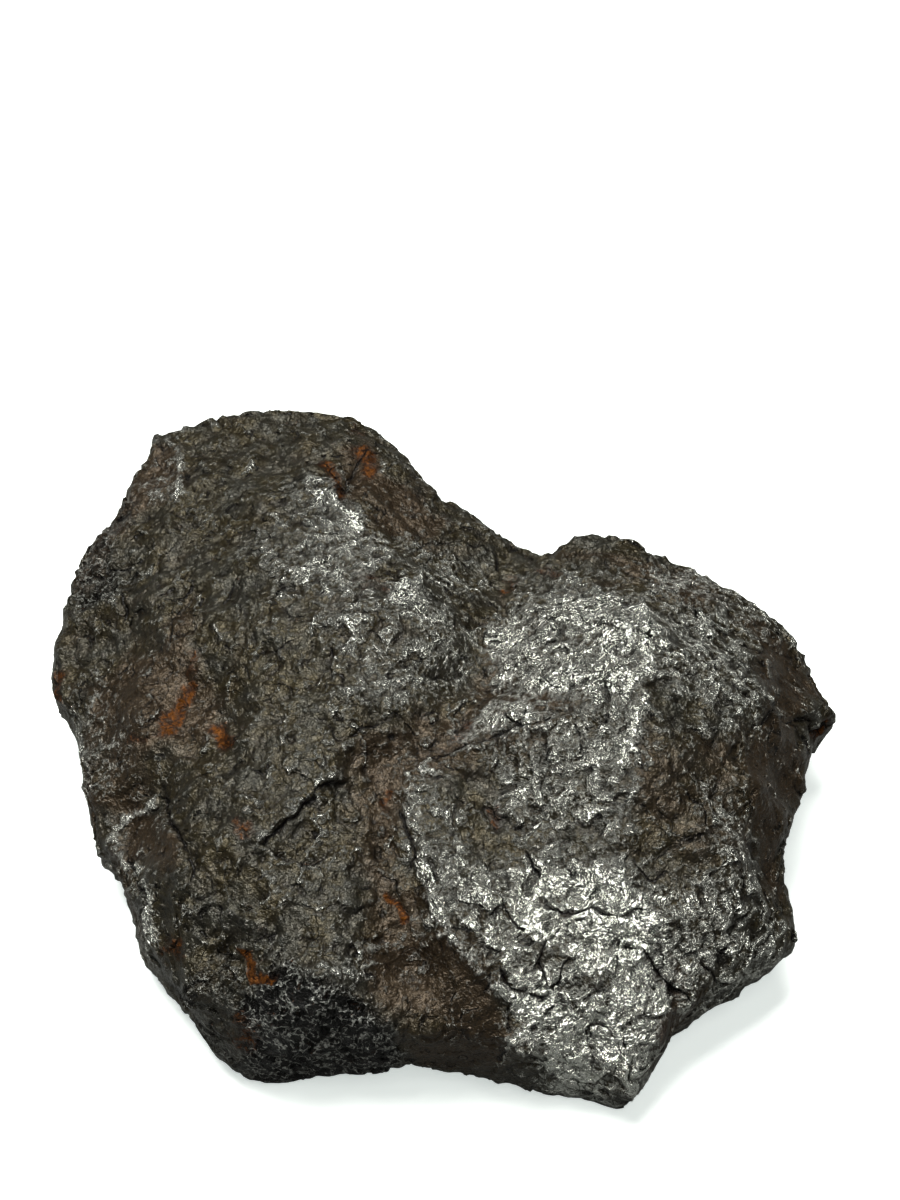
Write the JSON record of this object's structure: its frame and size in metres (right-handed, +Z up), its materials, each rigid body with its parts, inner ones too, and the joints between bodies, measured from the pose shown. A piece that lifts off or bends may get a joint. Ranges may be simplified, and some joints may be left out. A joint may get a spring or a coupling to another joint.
{
  "type": "iron meteorite",
  "caption": "Dark iron meteorite, a two-lobed slab with thumbprint hollows, flake ledges, burnished crests and rust.",
  "frame": {"origin": "middle of the stone's outline seen from above, on the surface it rests on", "axes": "+Z up from the worn underside; +X towards the right lobe's spur; +Y towards the tall back of the left lobe"},
  "size_m": [0.1292, 0.1224, 0.042],
  "materials": {
    "meteoritic_iron": "hammered dark iron, burnished on its crests, brown and rust-red in its hollows"
  },
  "bodies": {
    "root": {"meteorite": "meteoritic_iron"}
  },
  "joints": []
}
